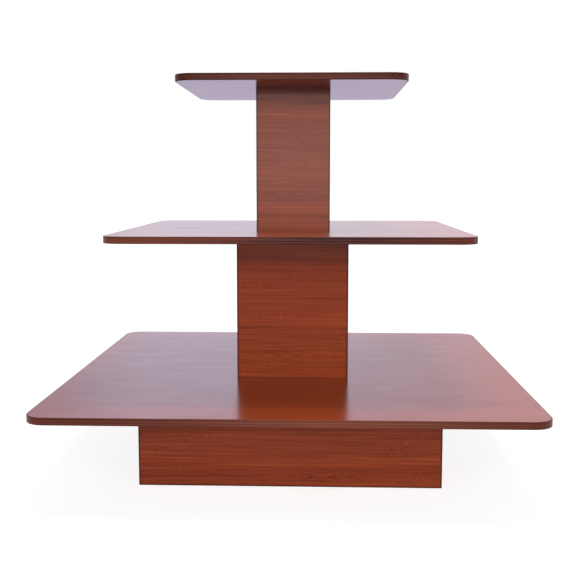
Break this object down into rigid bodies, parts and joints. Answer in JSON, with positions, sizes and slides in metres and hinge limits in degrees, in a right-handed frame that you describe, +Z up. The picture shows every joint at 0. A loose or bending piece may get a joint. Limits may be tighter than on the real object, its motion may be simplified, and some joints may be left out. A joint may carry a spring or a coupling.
{
  "type": "tiered display table",
  "caption": "Free-standing tiered display table: square round-cornered tiers, smaller upwards, on hollow square columns and a hollow plinth with hidden levelling feet.",
  "frame": {"origin": "on the floor under the middle of the table", "axes": "+Z up, -Y the front, +X to the right of someone facing the front"},
  "size_m": [1.219, 1.219, 1.043],
  "materials": {
    "laminate": "satin cherry wood-grain laminate",
    "edge_band": "satin cherry wood-grain edge band",
    "softwood": "sawn and planed, unfinished",
    "zinc_steel": "bright zinc plate",
    "glide_plastic": "moulded nylon"
  },
  "bodies": {
    "carcase": {"bottom_tier_board": "laminate", "bottom_tier_edge_band": "edge_band", "corner_block_back_left": "softwood", "corner_block_back_right": "softwood", "corner_block_front_left": "softwood", "corner_block_front_right": "softwood", "leveller_tee_nuts": "zinc_steel", "lower_column_back_panel": "laminate", "lower_column_base_screws": "zinc_steel", "lower_column_bottom_cleat_left": "softwood", "lower_column_bottom_cleat_right": "softwood", "lower_column_front_panel": "laminate", "lower_column_glue_blocks": "softwood", "lower_column_head_screws": "zinc_steel", "lower_column_left_panel": "laminate", "lower_column_right_panel": "laminate", "lower_column_top_cleat_left": "softwood", "lower_column_top_cleat_right": "softwood", "middle_tier_board": "laminate", "middle_tier_edge_band": "edge_band", "plinth_back_panel": "laminate", "plinth_cleat_back": "softwood", "plinth_cleat_front": "softwood", "plinth_cleat_left": "softwood", "plinth_cleat_right": "softwood", "plinth_deck_screws": "zinc_steel", "plinth_front_panel": "laminate", "plinth_left_panel": "laminate", "plinth_right_panel": "laminate", "plinth_stretcher_left": "softwood", "plinth_stretcher_right": "softwood", "top_tier_board": "laminate", "top_tier_edge_band": "edge_band", "upper_column_back_panel": "laminate", "upper_column_base_screws": "zinc_steel", "upper_column_bottom_cleat_left": "softwood", "upper_column_bottom_cleat_right": "softwood", "upper_column_front_panel": "laminate", "upper_column_glue_blocks": "softwood", "upper_column_head_screws": "zinc_steel", "upper_column_left_panel": "laminate", "upper_column_right_panel": "laminate", "upper_column_top_cleat_left": "softwood", "upper_column_top_cleat_right": "softwood"},
    "glide_front_left": {"leveller_glide_front_left": "glide_plastic"},
    "stem_front_left": {"leveller_stem_front_left": "zinc_steel"},
    "glide_front_right": {"leveller_glide_front_right": "glide_plastic"},
    "stem_front_right": {"leveller_stem_front_right": "zinc_steel"},
    "glide_back_left": {"leveller_glide_back_left": "glide_plastic"},
    "stem_back_left": {"leveller_stem_back_left": "zinc_steel"},
    "glide_back_right": {"leveller_glide_back_right": "glide_plastic"},
    "stem_back_right": {"leveller_stem_back_right": "zinc_steel"}
  },
  "joints": [
    {"name": "leveller_travel_front_left", "type": "slide", "parent": "carcase", "child": "glide_front_left", "axis": [0, 0, -1], "range_m": [0, 0.0127]},
    {"name": "leveller_turn_front_left", "type": "hinge", "parent": "glide_front_left", "child": "stem_front_left", "pos_m": [-0.326, -0.326, 0.009], "axis": [0, 0, -1], "range_deg": [0, 2880]},
    {"name": "leveller_travel_front_right", "type": "slide", "parent": "carcase", "child": "glide_front_right", "axis": [0, 0, -1], "range_m": [0, 0.0127]},
    {"name": "leveller_turn_front_right", "type": "hinge", "parent": "glide_front_right", "child": "stem_front_right", "pos_m": [0.326, -0.326, 0.009], "axis": [0, 0, -1], "range_deg": [0, 2880]},
    {"name": "leveller_travel_back_left", "type": "slide", "parent": "carcase", "child": "glide_back_left", "axis": [0, 0, -1], "range_m": [0, 0.0127]},
    {"name": "leveller_turn_back_left", "type": "hinge", "parent": "glide_back_left", "child": "stem_back_left", "pos_m": [-0.326, 0.326, 0.009], "axis": [0, 0, -1], "range_deg": [0, 2880]},
    {"name": "leveller_travel_back_right", "type": "slide", "parent": "carcase", "child": "glide_back_right", "axis": [0, 0, -1], "range_m": [0, 0.0127]},
    {"name": "leveller_turn_back_right", "type": "hinge", "parent": "glide_back_right", "child": "stem_back_right", "pos_m": [0.326, 0.326, 0.009], "axis": [0, 0, -1], "range_deg": [0, 2880]}
  ],
  "couplings": [
    {"joint": "leveller_turn_front_left", "follows": "leveller_travel_front_left", "rad_per_m": 3957.9},
    {"joint": "leveller_turn_front_right", "follows": "leveller_travel_front_right", "rad_per_m": 3957.9},
    {"joint": "leveller_turn_back_left", "follows": "leveller_travel_back_left", "rad_per_m": 3957.9},
    {"joint": "leveller_turn_back_right", "follows": "leveller_travel_back_right", "rad_per_m": 3957.9}
  ]
}
